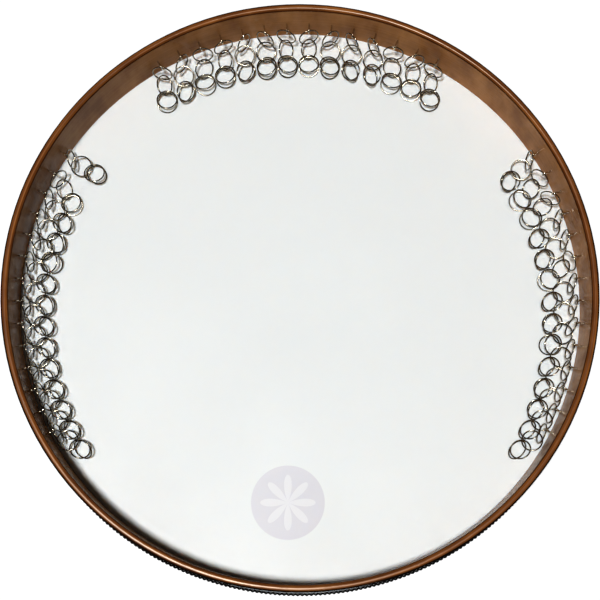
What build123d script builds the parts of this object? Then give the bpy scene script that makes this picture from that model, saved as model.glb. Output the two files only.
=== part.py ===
from build123d import *
import math
import os

# A ring frame drum (daf). It lies on its head with the open side up. Millimetres, +Z up.
# The origin is on the drum's axis, at the head's outer face.

# Wooden hoop
HOOP_OUTER_RADIUS = 279.0
HOOP_WALL = 7.0
HOOP_INNER_RADIUS = HOOP_OUTER_RADIUS - HOOP_WALL
DRUM_DEPTH = 66.0
RIM_OUTER_ROUND = 3.0
RIM_INNER_ROUND = 3.0
HEAD_EDGE_ROUND = 1.2

# Head film: flat across the hoop, then turned up its outside
FILM = 0.5
FILM_OUTER_RADIUS = HOOP_OUTER_RADIUS + FILM
FILM_CORNER = 1.5
FILM_SKIRT_TOP = 15.5

# Trim braid round the head's turned-up edge
BRAID_BOTTOM = 2.8
BRAID_WIDTH = 11.5
BRAID_BAND = 0.9
BRAID_CORD_RADIUS = 1.3
BRAID_CORDS = 3

# Screw eyes in the hoop's inner wall
EYE_HEIGHT = 30.5
EYE_WIRE_RADIUS = 0.75
EYE_LOOP_RADIUS = 2.5
EYE_STANDOFF = 7.0
EYE_DEPTH_IN_WOOD = 5.8
EYE_POINT = 1.4
PILOT_RADIUS = 0.8
PILOT_DEPTH = 6.2

# Rings
RING_RADIUS = 9.7
RING_WIRE_RADIUS = 0.65
RING_SEAT_INWARD = 0.35
RING_SEAT_DOWN = 0.35

# Each group's first and last eye, in degrees round the drum, and how far its chains turn from
# straight inwards. The left group mirrors the right one's eyes and turns the other way.
CHAINS_PER_GROUP = 14
TOP_ANGLES = (121.0, 59.9)
TOP_SKEWS = (-22.0, 22.0)
SIDE_ANGLES = (31.3, -29.3)
RIGHT_SKEWS = (14.0, 65.0)
LEFT_SKEWS = (33.0, 64.0)
LEFT_FIRST_SKEW = -5.0

# How the four rings of a chain lie, hanging from the eye down on to the head. Each ring has
# its overlap with the ring before it, then its dip, twist and turn in degrees. The third and
# fourth rings both hang in the second. A small letter is the mirror image of its capital.
RING_LAYS = {
    "A": ((0, 71, 20, 1), (3.9, 26, 40, -3), (1.7, 12, -4, 4), (4.3, -12, -6, 7)),
    "B": ((0, 69, -51, 0), (3.6, 17, 4, 0), (1.8, -13, 43, 0), (4.4, 15, 26, 0)),
    "C": ((0, 69, 35, 0), (3.7, 17, -12, 0), (2.1, 15, 21, 0), (5.0, -9, 15, 0)),
    "D": ((0, 69, -16, -17), (1.7, 27, 36, 12), (2.4, 9, -1, -13), (5.2, -27, -1, -13)),
    "E": ((0, 67, 56, 3), (3.8, 18, -13, 1), (1.9, -16, -44, -11), (5.4, 16, -27, 2)),
    "F": ((0, 63, 50, -12), (4.9, 24, 15, 9), (2.4, 15, -18, -10), (5.3, -10, -28, 10)),
    "G": ((0, 76, 2, -20), (1.9, 17, -45, 3), (1.7, 13, -14, 5), (4.7, -12, -13, 10)),
}
TOP_LAYS = "ABdgBCGacbEDaG"
RIGHT_LAYS = "bDaEbAEbFEbbEE"
LEFT_LAYS = "caeBfeBeBBeeee"

UP = Vector(0, 0, 1)


def hoop():
    height = DRUM_DEPTH - FILM
    lift = Pos(0, 0, FILM + height / 2)
    ring = lift * (Cylinder(HOOP_OUTER_RADIUS, height) - Cylinder(HOOP_INNER_RADIUS, height))
    rims = ring.edges().filter_by(GeomType.CIRCLE).group_by(Axis.Z)
    bottom = rims[0].sort_by(SortBy.RADIUS)
    ring = fillet(bottom[-1], HEAD_EDGE_ROUND)
    top = ring.edges().filter_by(GeomType.CIRCLE).group_by(Axis.Z)[-1].sort_by(SortBy.RADIUS)
    ring = fillet(top[0], RIM_INNER_ROUND)
    top = ring.edges().filter_by(GeomType.CIRCLE).group_by(Axis.Z)[-1].sort_by(SortBy.RADIUS)
    ring = fillet(top[-1], RIM_OUTER_ROUND)
    pilots = [eye_place(angle) * pilot_hole() for angle in all_angles()]
    return ring - pilots


def head():
    return Pos(0, 0, FILM / 2) * Cylinder(FILM_OUTER_RADIUS - FILM_CORNER, FILM)


def head_skirt():
    """The head film's edge, from the flat skin round the corner and up the hoop."""
    flat_edge = FILM_OUTER_RADIUS - FILM_CORNER
    corner = Pos(flat_edge, FILM_CORNER)
    turned = (corner * Circle(FILM_CORNER)) - (corner * Circle(FILM_CORNER - FILM))
    turned &= Pos(flat_edge, 0) * Rectangle(FILM_CORNER, FILM_CORNER, align=(Align.MIN, Align.MIN))
    rise = FILM_SKIRT_TOP - FILM_CORNER
    side = Pos(HOOP_OUTER_RADIUS, FILM_CORNER) * Rectangle(FILM, rise, align=(Align.MIN, Align.MIN))
    return revolve(Plane.XZ * (turned + side), Axis.Z)


def braid():
    """A flat band with raised cords along it."""
    section = Pos(FILM_OUTER_RADIUS, BRAID_BOTTOM) * Rectangle(
        BRAID_BAND, BRAID_WIDTH, align=(Align.MIN, Align.MIN)
    )
    first = BRAID_BOTTOM + BRAID_CORD_RADIUS
    pitch = (BRAID_WIDTH - 2 * BRAID_CORD_RADIUS) / (BRAID_CORDS - 1)
    for number in range(BRAID_CORDS):
        centre = Pos(FILM_OUTER_RADIUS + BRAID_CORD_RADIUS, first + number * pitch)
        section += centre * Circle(BRAID_CORD_RADIUS)
    return revolve(Plane.XZ * section, Axis.Z)


def eye_place(angle):
    """A frame on the hoop's inner wall, at eye height, with local X pointing outwards."""
    return Rot(0, 0, angle) * Pos(HOOP_INNER_RADIUS, 0, EYE_HEIGHT)


def along_x(radius, start, end):
    """A rod along local X."""
    length = end - start
    return Pos((start + end) / 2, 0, 0) * Rot(0, 90, 0) * Cylinder(radius, length)


def pilot_hole():
    return along_x(PILOT_RADIUS, -1.0, PILOT_DEPTH)


def screw_eye():
    loop = Pos(-EYE_STANDOFF, 0, 0) * Rot(90, 0, 0) * Torus(EYE_LOOP_RADIUS, EYE_WIRE_RADIUS)
    point_start = EYE_DEPTH_IN_WOOD - EYE_POINT
    shank = along_x(EYE_WIRE_RADIUS, -EYE_STANDOFF + EYE_LOOP_RADIUS, point_start)
    middle = Pos(point_start + EYE_POINT / 2, 0, 0)
    point = middle * Rot(0, 90, 0) * Cone(EYE_WIRE_RADIUS, EYE_WIRE_RADIUS / 4, EYE_POINT)
    return loop + shank + point


def ring_directions(dip, twist, turn):
    """A ring's forward direction and its normal, for a chain that heads along +X."""
    dip, twist, turn = (math.radians(value) for value in (dip, twist, turn))
    level = Vector(math.cos(turn), math.sin(turn), 0)
    side = UP.cross(level)
    forward = level * math.cos(dip) - UP * math.sin(dip)
    across = side * math.cos(twist) + forward.cross(side) * math.sin(twist)
    return forward, forward.cross(across)


def chain_rings(lay):
    """The four linked rings of one chain, with the hinge point at the origin."""
    hand = -1 if lay.islower() else 1
    rings = []
    far_points = [Vector(0, 0, 0)]
    for number, (overlap, dip, twist, turn) in enumerate(RING_LAYS[lay.upper()]):
        forward, normal = ring_directions(dip, hand * twist, hand * turn)
        start = far_points[min(number, 2)]
        centre = start + forward * (RING_RADIUS - overlap)
        far_points.append(centre + forward * RING_RADIUS)
        plane = Plane(origin=centre, x_dir=forward, z_dir=normal)
        rings.append(plane * Torus(RING_RADIUS, RING_WIRE_RADIUS))
    return rings


def ring_chain(angle, skew, lay):
    """A chain at its screw eye. Positive skew turns it counterclockwise from straight inwards."""
    seat_radius = HOOP_INNER_RADIUS - EYE_STANDOFF - RING_SEAT_INWARD
    seat = Rot(0, 0, angle) * Pos(seat_radius, 0, EYE_HEIGHT - RING_SEAT_DOWN)
    placed = seat * Rot(0, 0, 180 + skew)
    return Compound(children=[placed * ring for ring in chain_rings(lay)])


def spread(first_and_last):
    """Evenly spaced values, one for each chain of a group."""
    first, last = first_and_last
    step = (last - first) / (CHAINS_PER_GROUP - 1)
    return [first + step * number for number in range(CHAINS_PER_GROUP)]


def groups():
    """Each group's eye angles, chain skews and lays."""
    left_skews = [LEFT_FIRST_SKEW] + spread(LEFT_SKEWS)[1:]
    return {
        "top": (spread(TOP_ANGLES), spread(TOP_SKEWS), TOP_LAYS),
        "right": (spread(SIDE_ANGLES), spread(RIGHT_SKEWS), RIGHT_LAYS),
        "left": (
            [180 - angle for angle in spread(SIDE_ANGLES)],
            [-skew for skew in left_skews],
            LEFT_LAYS,
        ),
    }


def all_angles():
    return [angle for angles, _, _ in groups().values() for angle in angles]


def write(name, shape):
    export_step(shape, f"parts/{name}.step")


def main():
    os.makedirs("parts", exist_ok=True)
    write("frame_hoop", hoop())
    write("drum_head", head())
    write("head_skirt", head_skirt())
    write("trim_braid", braid())
    for group, (angles, skews, lays) in groups().items():
        eyes = [eye_place(angle) * screw_eye() for angle in angles]
        write(f"screw_eyes_{group}", Compound(children=eyes))
        for number, (angle, skew, lay) in enumerate(zip(angles, skews, lays), start=1):
            write(f"ring_chain_{group}_{number:02d}", ring_chain(angle, skew, lay))


main()
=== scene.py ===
import bpy
import math
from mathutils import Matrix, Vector


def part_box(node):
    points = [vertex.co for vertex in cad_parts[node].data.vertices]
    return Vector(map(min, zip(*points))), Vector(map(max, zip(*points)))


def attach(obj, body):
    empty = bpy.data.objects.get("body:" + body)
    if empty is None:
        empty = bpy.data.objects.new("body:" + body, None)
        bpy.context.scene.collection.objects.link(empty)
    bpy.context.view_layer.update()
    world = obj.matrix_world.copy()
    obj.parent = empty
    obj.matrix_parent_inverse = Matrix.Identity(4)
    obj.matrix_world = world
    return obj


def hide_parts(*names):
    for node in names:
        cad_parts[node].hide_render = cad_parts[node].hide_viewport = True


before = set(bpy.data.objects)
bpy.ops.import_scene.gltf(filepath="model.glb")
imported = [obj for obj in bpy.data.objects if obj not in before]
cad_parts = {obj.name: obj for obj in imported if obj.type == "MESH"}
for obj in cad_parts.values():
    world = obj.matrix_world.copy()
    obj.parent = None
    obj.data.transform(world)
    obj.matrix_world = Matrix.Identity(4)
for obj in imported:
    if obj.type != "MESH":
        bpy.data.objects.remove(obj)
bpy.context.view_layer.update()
ROOT = "drum"

# Sizes, in metres, read from the CAD nodes
HOOP_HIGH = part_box("frame_hoop")[1]
BRAID_LOW, BRAID_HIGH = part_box("trim_braid")
SKIRT_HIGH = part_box("head_skirt")[1]
HOOP_OUTER = HOOP_HIGH.x
RIM_HEIGHT = HOOP_HIGH.z
FILM_OUTER = SKIRT_HIGH.x
SKIRT_TOP = SKIRT_HIGH.z

# The printed rosette's centre and radius, in metres
ROSETTE_PLACE = (-0.0115, -0.1955)
ROSETTE_RADIUS = 0.035

# Base colours, linear
# painted shade: the near-black line on the rim's rounded outer edge
OUTER_EDGE_SHADE = (0.010, 0.005, 0.003, 1.0)
# painted shade: the dark line on the rim's rounded inner edge
INNER_EDGE_SHADE = (0.040, 0.012, 0.004, 1.0)
PORE_COLOUR = (0.05, 0.02, 0.01, 1.0)
OUTSIDE_STAIN = (0.32, 0.27, 0.25, 1.0)
EYE_TINT = (0.66, 0.61, 0.49)
RING_TINT = (0.30, 0.272, 0.215)

# The single studio lamp, seen from the drum's centre
KEY_TURN = math.radians(223)
KEY_TILT = math.radians(8.3)
KEY_DISTANCE = 8.0
KEY_SIZE = 0.85
KEY_POWER = 680.0
WORLD_STRENGTH = 0.03
VIEW_GAMMA = 0.82

# The camera looks down into the open side, leaning from the drum's axis towards -Y
CAMERA_TILT = math.radians(10.6)
CAMERA_DISTANCE = 1.384
CAMERA_AIM = Vector((0.0, -0.0122, RIM_HEIGHT))
CAMERA_LENS = 89.45
SENSOR_WIDTH = 36.0


# ---------------------------------------------------------------- node helpers

class Nodes:
    """A material being built: adds nodes and links them in one call."""

    def __init__(self, name):
        self.material = bpy.data.materials.new(name)
        self.material.use_nodes = True
        self.tree = self.material.node_tree
        self.shader = self.tree.nodes["Principled BSDF"]

    def add(self, kind, inputs=None, **settings):
        node = self.tree.nodes.new(kind)
        for key, value in settings.items():
            setattr(node, key, value)
        for key, value in (inputs or {}).items():
            self.connect(value, node.inputs[key])
        return node

    def connect(self, value, socket):
        if isinstance(value, bpy.types.NodeSocket):
            self.tree.links.new(value, socket)
        else:
            socket.default_value = value

    def shade(self, **inputs):
        for key, value in inputs.items():
            self.connect(value, self.shader.inputs[key.replace("_", " ")])

    def math(self, operation, first, second=0.0):
        return self.add("ShaderNodeMath", {0: first, 1: second}, operation=operation).outputs[0]

    def position(self):
        return self.add("ShaderNodeTexCoord").outputs["Object"]

    def split(self, vector):
        return self.add("ShaderNodeSeparateXYZ", {0: vector}).outputs

    def join(self, x, y, z):
        return self.add("ShaderNodeCombineXYZ", {0: x, 1: y, 2: z}).outputs[0]

    def radius(self, x, y):
        flat = self.join(x, y, 0.0)
        return self.add("ShaderNodeVectorMath", {0: flat}, operation="LENGTH").outputs["Value"]

    def noise(self, vector, scale, detail=4.0, roughness=0.5, distortion=0.0):
        inputs = {
            "Vector": vector,
            "Scale": scale,
            "Detail": detail,
            "Roughness": roughness,
            "Distortion": distortion,
        }
        return self.add("ShaderNodeTexNoise", inputs).outputs["Fac"]

    def ramp(self, value, *stops):
        """A colour ramp through (place, colour) stops."""
        node = self.add("ShaderNodeValToRGB", {0: value})
        elements = node.color_ramp.elements
        while len(elements) < len(stops):
            elements.new(0.5)
        for element, (place, colour) in zip(elements, stops):
            element.position = place
            element.color = (*colour, 1.0)
        return node.outputs[0]

    def span(self, value, low, high, new_low=0.0, new_high=1.0):
        inputs = {
            "Value": value,
            "From Min": low,
            "From Max": high,
            "To Min": new_low,
            "To Max": new_high,
        }
        node = self.add("ShaderNodeMapRange", inputs, interpolation_type="SMOOTHSTEP")
        return node.outputs[0]

    def mix(self, share, first, second, blend="MIX"):
        node = self.add("ShaderNodeMix", data_type="RGBA", blend_type=blend)
        colours = [socket for socket in node.inputs if socket.type == "RGBA"]
        self.connect(share, node.inputs[0])
        self.connect(first, colours[0])
        self.connect(second, colours[1])
        return [socket for socket in node.outputs if socket.type == "RGBA"][0]

    def bump(self, height, distance, strength):
        inputs = {"Height": height, "Distance": distance, "Strength": strength}
        return self.add("ShaderNodeBump", inputs).outputs[0]


# ------------------------------------------------------------------- materials

def walnut():
    """Walnut with grain round the hoop: lacquered rim, oiled inner wall, dark stained outside,
    painted shade on the rim's edges and painted light and shade across the inner wall.
    """
    n = Nodes("walnut_lacquer")
    x, y, z = n.split(n.position())
    radius = n.radius(x, y)
    across = n.math("ADD", n.math("MULTIPLY", z, 260.0), n.math("MULTIPLY", radius, 900.0))
    along_x = n.math("MULTIPLY", x, 9.0)
    along_y = n.math("MULTIPLY", y, 9.0)
    grain = n.noise(n.join(along_x, along_y, across), 1.0, 6.0, 0.62, 0.35)
    cloud_x, cloud_y = n.math("MULTIPLY", x, 38.0), n.math("MULTIPLY", y, 38.0)
    cloud_z = n.math("MULTIPLY", z, 14.0)
    clouds = n.noise(n.join(cloud_x, cloud_y, cloud_z), 1.0, 3.0)
    pore_x, pore_y = n.math("MULTIPLY", x, 60.0), n.math("MULTIPLY", y, 60.0)
    pores = n.noise(n.join(pore_x, pore_y, n.math("MULTIPLY", across, 6.0)), 1.0, 2.0)
    pore_mask = n.span(pores, 0.60, 0.72)
    rim = n.ramp(
        n.math("ADD", n.math("MULTIPLY", grain, 0.75), n.math("MULTIPLY", clouds, 0.25)),
        (0.36, (0.095, 0.025, 0.004)),
        (0.50, (0.190, 0.063, 0.012)),
        (0.64, (0.340, 0.135, 0.032)),
    )
    wall = n.ramp(
        n.math("ADD", n.math("MULTIPLY", grain, 0.25), n.math("MULTIPLY", clouds, 0.75)),
        (0.36, (0.260, 0.108, 0.032)),
        (0.50, (0.360, 0.162, 0.052)),
        (0.64, (0.440, 0.210, 0.073)),
    )
    # Painted light and shade: the inner wall is lighter and greyer towards +X+Y, the side facing
    # the lamp, and darker towards the shaded -X-Y side.
    painted_light_share = n.span(n.math("ADD", x, y), -HOOP_OUTER, HOOP_OUTER)
    painted_light_tone = n.ramp(painted_light_share, (0.0, (0.62, 0.62, 0.64)), (1.0, (1.28, 1.32, 1.40)))
    wall = n.mix(1.0, wall, painted_light_tone, "MULTIPLY")
    on_rim = n.span(z, RIM_HEIGHT - 0.0030, RIM_HEIGHT - 0.0022)
    colour = n.mix(on_rim, wall, rim)
    colour = n.mix(n.math("MULTIPLY", pore_mask, 0.25), colour, PORE_COLOUR)
    # Painted shade: a dark band just below the rim top, where the rim's inner edge rounds over,
    # with its gloss taken away.
    inner_edge_shade = n.span(z, RIM_HEIGHT - 0.0040, RIM_HEIGHT - 0.0030)
    inner_edge_shade = n.math("SUBTRACT", inner_edge_shade, n.span(z, RIM_HEIGHT - 0.0016, RIM_HEIGHT - 0.0007))
    colour = n.mix(n.math("MULTIPLY", inner_edge_shade, 0.75), colour, INNER_EDGE_SHADE)
    outside = n.span(radius, HOOP_OUTER - 0.0022, HOOP_OUTER - 0.0012)
    # Painted shade: a near-black line on the rim's rounded outer edge, with its gloss taken away.
    outer_edge_shade = n.math("MULTIPLY", outside, n.span(z, RIM_HEIGHT - 0.0044, RIM_HEIGHT - 0.0036))
    stained = n.mix(1.0, rim, OUTSIDE_STAIN, "MULTIPLY")
    colour = n.mix(outside, colour, n.mix(outer_edge_shade, stained, OUTER_EDGE_SHADE))
    glossy = n.math("SUBTRACT", 1.0, n.math("MAXIMUM", outer_edge_shade, inner_edge_shade))
    n.shade(
        Base_Color=colour,
        Roughness=n.span(grain, 0.3, 0.7, 0.30, 0.24),
        Specular_IOR_Level=n.math("MULTIPLY", n.math("MULTIPLY", on_rim, 0.42), glossy),
        Specular_Tint=(1.0, 0.80, 0.62, 1.0),
        Normal=n.bump(n.math("SUBTRACT", n.math("MULTIPLY", grain, 0.5), pore_mask), 0.00005, 0.4),
        Coat_Weight=n.math("MULTIPLY", n.span(on_rim, 0.0, 1.0, 0.85, 0.10), glossy),
        Coat_IOR=n.span(on_rim, 0.0, 1.0, 1.1, 1.5),
        Coat_Roughness=0.20,
    )
    return n.material


def film():
    """Coated white drum film with a fine sprayed texture and a faint printed rosette."""
    n = Nodes("coated_film")
    n.shader.subsurface_method = "BURLEY"
    place = n.position()
    x, y, _ = n.split(place)
    clouds = n.noise(place, 9.0, 3.0)
    specks = n.noise(place, 2600.0, 2.0, 0.6)
    coat = n.ramp(clouds, (0.35, (0.735, 0.756, 0.749)), (0.65, (0.745, 0.765, 0.758)))
    across = n.math("SUBTRACT", x, ROSETTE_PLACE[0])
    along = n.math("SUBTRACT", y, ROSETTE_PLACE[1])
    reach = n.radius(across, along)
    around = n.math("ARCTAN2", along, across)
    lobes = n.math("ABSOLUTE", n.math("COSINE", n.math("MULTIPLY", around, 4.0)))
    disc = n.span(reach, ROSETTE_RADIUS - 0.0004, ROSETTE_RADIUS + 0.0004, 1.0, 0.0)
    past_petal = n.math("SUBTRACT", reach, n.math("MULTIPLY", lobes, 0.75 * ROSETTE_RADIUS))
    petals = n.span(past_petal, -0.0006, 0.0006, 1.0, 0.0)
    printed = n.mix(petals, (0.871, 0.840, 0.890, 1.0), (0.98, 0.953, 0.98, 1.0))
    n.shade(
        Base_Color=n.mix(disc, coat, n.mix(1.0, coat, printed, "MULTIPLY")),
        Roughness=n.span(clouds, 0.3, 0.7, 0.50, 0.58),
        Normal=n.bump(specks, 0.00004, 0.4),
        Subsurface_Weight=0.8,
        Subsurface_Radius=(1.0, 0.75, 0.5),
        Subsurface_Scale=0.004,
    )
    return n.material


def nickel(name, tint):
    """Nickel-plated wire with faint tarnish and drawing marks."""
    n = Nodes(name)
    place = n.position()
    tarnish = n.noise(place, 120.0, 3.0)
    marks = n.noise(place, 1800.0, 2.0, 0.7)
    darker = tuple(0.78 * value for value in tint)
    n.shade(
        Base_Color=n.ramp(tarnish, (0.35, darker), (0.62, tint)),
        Metallic=1.0,
        Roughness=n.span(marks, 0.3, 0.7, 0.15, 0.20),
        Normal=n.bump(marks, 0.00001, 0.3),
    )
    return n.material


def braid_yarn():
    """Black rayon yarn: twisted strands along each cord, from the cord's own UV."""
    n = Nodes("braid_yarn")
    u, v, _ = n.split(n.add("ShaderNodeTexCoord").outputs["UV"])
    strands = n.math("SINE", n.math("MULTIPLY", n.math("ADD", u, v), 2 * math.pi * 2))
    fibres = n.noise(n.position(), 5200.0, 3.0, 0.7)
    height = n.math("ADD", n.math("MULTIPLY", strands, 0.6), fibres)
    colour = n.ramp(fibres, (0.35, (0.003, 0.003, 0.0035)), (0.75, (0.014, 0.0135, 0.013)))
    n.shade(
        Base_Color=colour,
        Roughness=n.span(fibres, 0.3, 0.7, 0.55, 0.8),
        Specular_IOR_Level=0.10,
        Sheen_Weight=0.02,
        Sheen_Roughness=0.4,
        Normal=n.bump(height, 0.00012, 0.8),
    )
    return n.material


def dress(node, material):
    """Gives a CAD node its finished material."""
    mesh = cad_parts[node].data
    mesh.materials.clear()
    mesh.materials.append(material)


# ----------------------------------------------------------------------- pieces

def new_object(name, vertices, faces, uvs=None):
    mesh = bpy.data.meshes.new(name)
    mesh.from_pydata(vertices, [], faces)
    if uvs:
        layer = mesh.uv_layers.new(name="cord")
        for loop in mesh.loops:
            layer.data[loop.index].uv = uvs[loop.vertex_index]
    mesh.polygons.foreach_set("use_smooth", [True] * len(mesh.polygons))
    mesh.update()
    made = bpy.data.objects.new(name, mesh)
    bpy.context.collection.objects.link(made)
    return made


def hoop_faces(faces, first, steps, corners):
    """Quads of a closed profile of so many corners, carried right round in equal steps."""
    for step in range(steps):
        here = first + step * corners
        there = first + (step + 1) % steps * corners
        for side in range(corners):
            up = (side + 1) % corners
            faces.append((here + side, there + side, there + up, here + up))


def trim_braid():
    """The gimp braid: crossing cords over a flat backing band."""
    repeats = 418
    steps_per_repeat = 8
    around_cord = 6
    cord_radius = 0.00080
    backing = 0.0008
    band_steps = 360
    middle_radius = FILM_OUTER + 0.00185
    weave_lift = 0.00050
    low, high = BRAID_LOW.z, BRAID_HIGH.z
    sway = (high - low - 2 * cord_radius) / 4
    rows = (low + cord_radius + sway, high - cord_radius - sway)
    vertices, faces, uvs = [], [], []
    steps = repeats * steps_per_repeat

    def cord(row_height, phase):
        first = len(vertices)
        for step in range(steps):
            turn = 2 * math.pi * step / steps
            weave = 2 * math.pi * step / steps_per_repeat
            radius = middle_radius + weave_lift * math.cos(weave)
            height = row_height + sway * math.sin(weave + phase)
            for side in range(around_cord):
                lean = 2 * math.pi * side / around_cord
                reach = radius + cord_radius * math.cos(lean)
                vertices.append(
                    (
                        reach * math.cos(turn),
                        reach * math.sin(turn),
                        height + cord_radius * math.sin(lean),
                    )
                )
                uvs.append((step / steps_per_repeat, side / around_cord))
        hoop_faces(faces, first, steps, around_cord)

    for row_height in rows:
        cord(row_height, 0.0)
        cord(row_height, math.pi)

    corners = (
        (FILM_OUTER, low + backing),
        (FILM_OUTER + backing, low + backing),
        (FILM_OUTER + backing, high - backing),
        (FILM_OUTER, high - backing),
    )
    first = len(vertices)
    for step in range(band_steps):
        turn = 2 * math.pi * step / band_steps
        for radius, height in corners:
            vertices.append((radius * math.cos(turn), radius * math.sin(turn), height))
            uvs.append((step / 2, height * 1000))
    hoop_faces(faces, first, band_steps, len(corners))

    braid = new_object("gimp_braid", vertices, faces, uvs)
    braid.data.materials.append(braid_yarn())
    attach(braid, ROOT)
    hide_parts("trim_braid")


def film_skirt(white):
    """The head film's turned-up edge, with a narrow lip above the braid."""
    steps = 720
    thickness = FILM_OUTER - HOOP_OUTER
    corner = 0.0015
    lip_reach, lip_drop = 0.0002, 0.0012
    middle = FILM_OUTER - corner

    def bend(radius):
        turns = [math.radians(angle) for angle in range(-90, 1, 15)]
        return [(middle + radius * math.cos(a), corner + radius * math.sin(a)) for a in turns]

    lip = [
        (FILM_OUTER, SKIRT_TOP - lip_drop),
        (FILM_OUTER + 0.6 * lip_reach, SKIRT_TOP - 0.7 * lip_drop),
        (FILM_OUTER + lip_reach, SKIRT_TOP - 0.1 * lip_drop),
        (FILM_OUTER + lip_reach, SKIRT_TOP),
        (FILM_OUTER + 0.5 * lip_reach, SKIRT_TOP - 0.3 * lip_drop),
        (HOOP_OUTER, SKIRT_TOP - 0.4 * lip_drop),
    ]
    profile = bend(corner) + lip + bend(corner - thickness)[::-1]
    vertices, faces = [], []
    for step in range(steps):
        turn = 2 * math.pi * step / steps
        for radius, height in profile:
            vertices.append((radius * math.cos(turn), radius * math.sin(turn), height))
    hoop_faces(faces, 0, steps, len(profile))
    skirt = new_object("film_skirt", vertices, faces)
    skirt.data.materials.append(white)
    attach(skirt, ROOT)
    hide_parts("head_skirt")


def dress_frame(white):
    """Finishes for the CAD nodes that are shown as they are."""
    wood = walnut()
    eye_metal = nickel("eye_nickel", EYE_TINT)
    ring_metal = nickel("ring_nickel", RING_TINT)
    dress("frame_hoop", wood)
    dress("drum_head", white)
    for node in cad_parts:
        if node.startswith("screw_eyes"):
            dress(node, eye_metal)
        if node.startswith("ring_chain"):
            dress(node, ring_metal)


# ------------------------------------------------------------------------ stage

def floor():
    """A plain pale floor, a hair below the head."""
    bpy.ops.mesh.primitive_plane_add(size=6.0, location=(0, 0, -0.0006))
    ground = bpy.context.object
    ground.name = "floor"
    n = Nodes("floor_paper")
    clouds = n.noise(n.position(), 1.5, 2.0)
    n.shade(
        Base_Color=n.ramp(clouds, (0.3, (0.96, 0.96, 0.96)), (0.7, (0.98, 0.98, 0.98))),
        Roughness=0.9,
    )
    ground.data.materials.append(n.material)


def lights():
    """One far disc lamp, almost overhead, and a very dim world."""
    world = bpy.data.worlds.new("studio")
    world.use_nodes = True
    background = world.node_tree.nodes["Background"]
    background.inputs[0].default_value = (1.0, 1.0, 1.0, 1.0)
    background.inputs[1].default_value = WORLD_STRENGTH
    bpy.context.scene.world = world
    lamp = bpy.data.lights.new("key", "AREA")
    lamp.shape = "DISK"
    lamp.size = KEY_SIZE
    lamp.energy = KEY_POWER
    place = KEY_DISTANCE * Vector(
        (
            math.sin(KEY_TILT) * math.cos(KEY_TURN),
            math.sin(KEY_TILT) * math.sin(KEY_TURN),
            math.cos(KEY_TILT),
        )
    )
    made = bpy.data.objects.new("key", lamp)
    bpy.context.collection.objects.link(made)
    made.location = place
    made.rotation_euler = (-place).to_track_quat("-Z", "Y").to_euler()


def camera():
    back = Vector((0.0, -math.sin(CAMERA_TILT), math.cos(CAMERA_TILT)))
    data = bpy.data.cameras.new("camera")
    data.lens = CAMERA_LENS
    data.sensor_width = SENSOR_WIDTH
    made = bpy.data.objects.new("camera", data)
    bpy.context.collection.objects.link(made)
    made.location = CAMERA_AIM + back * CAMERA_DISTANCE
    made.rotation_euler = (-back).to_track_quat("-Z", "Y").to_euler()
    bpy.context.scene.camera = made


def main():
    view = bpy.context.scene.view_settings
    view.view_transform = "Standard"
    view.gamma = VIEW_GAMMA
    camera()
    floor()
    lights()
    white = film()
    dress_frame(white)
    film_skirt(white)
    trim_braid()


main()
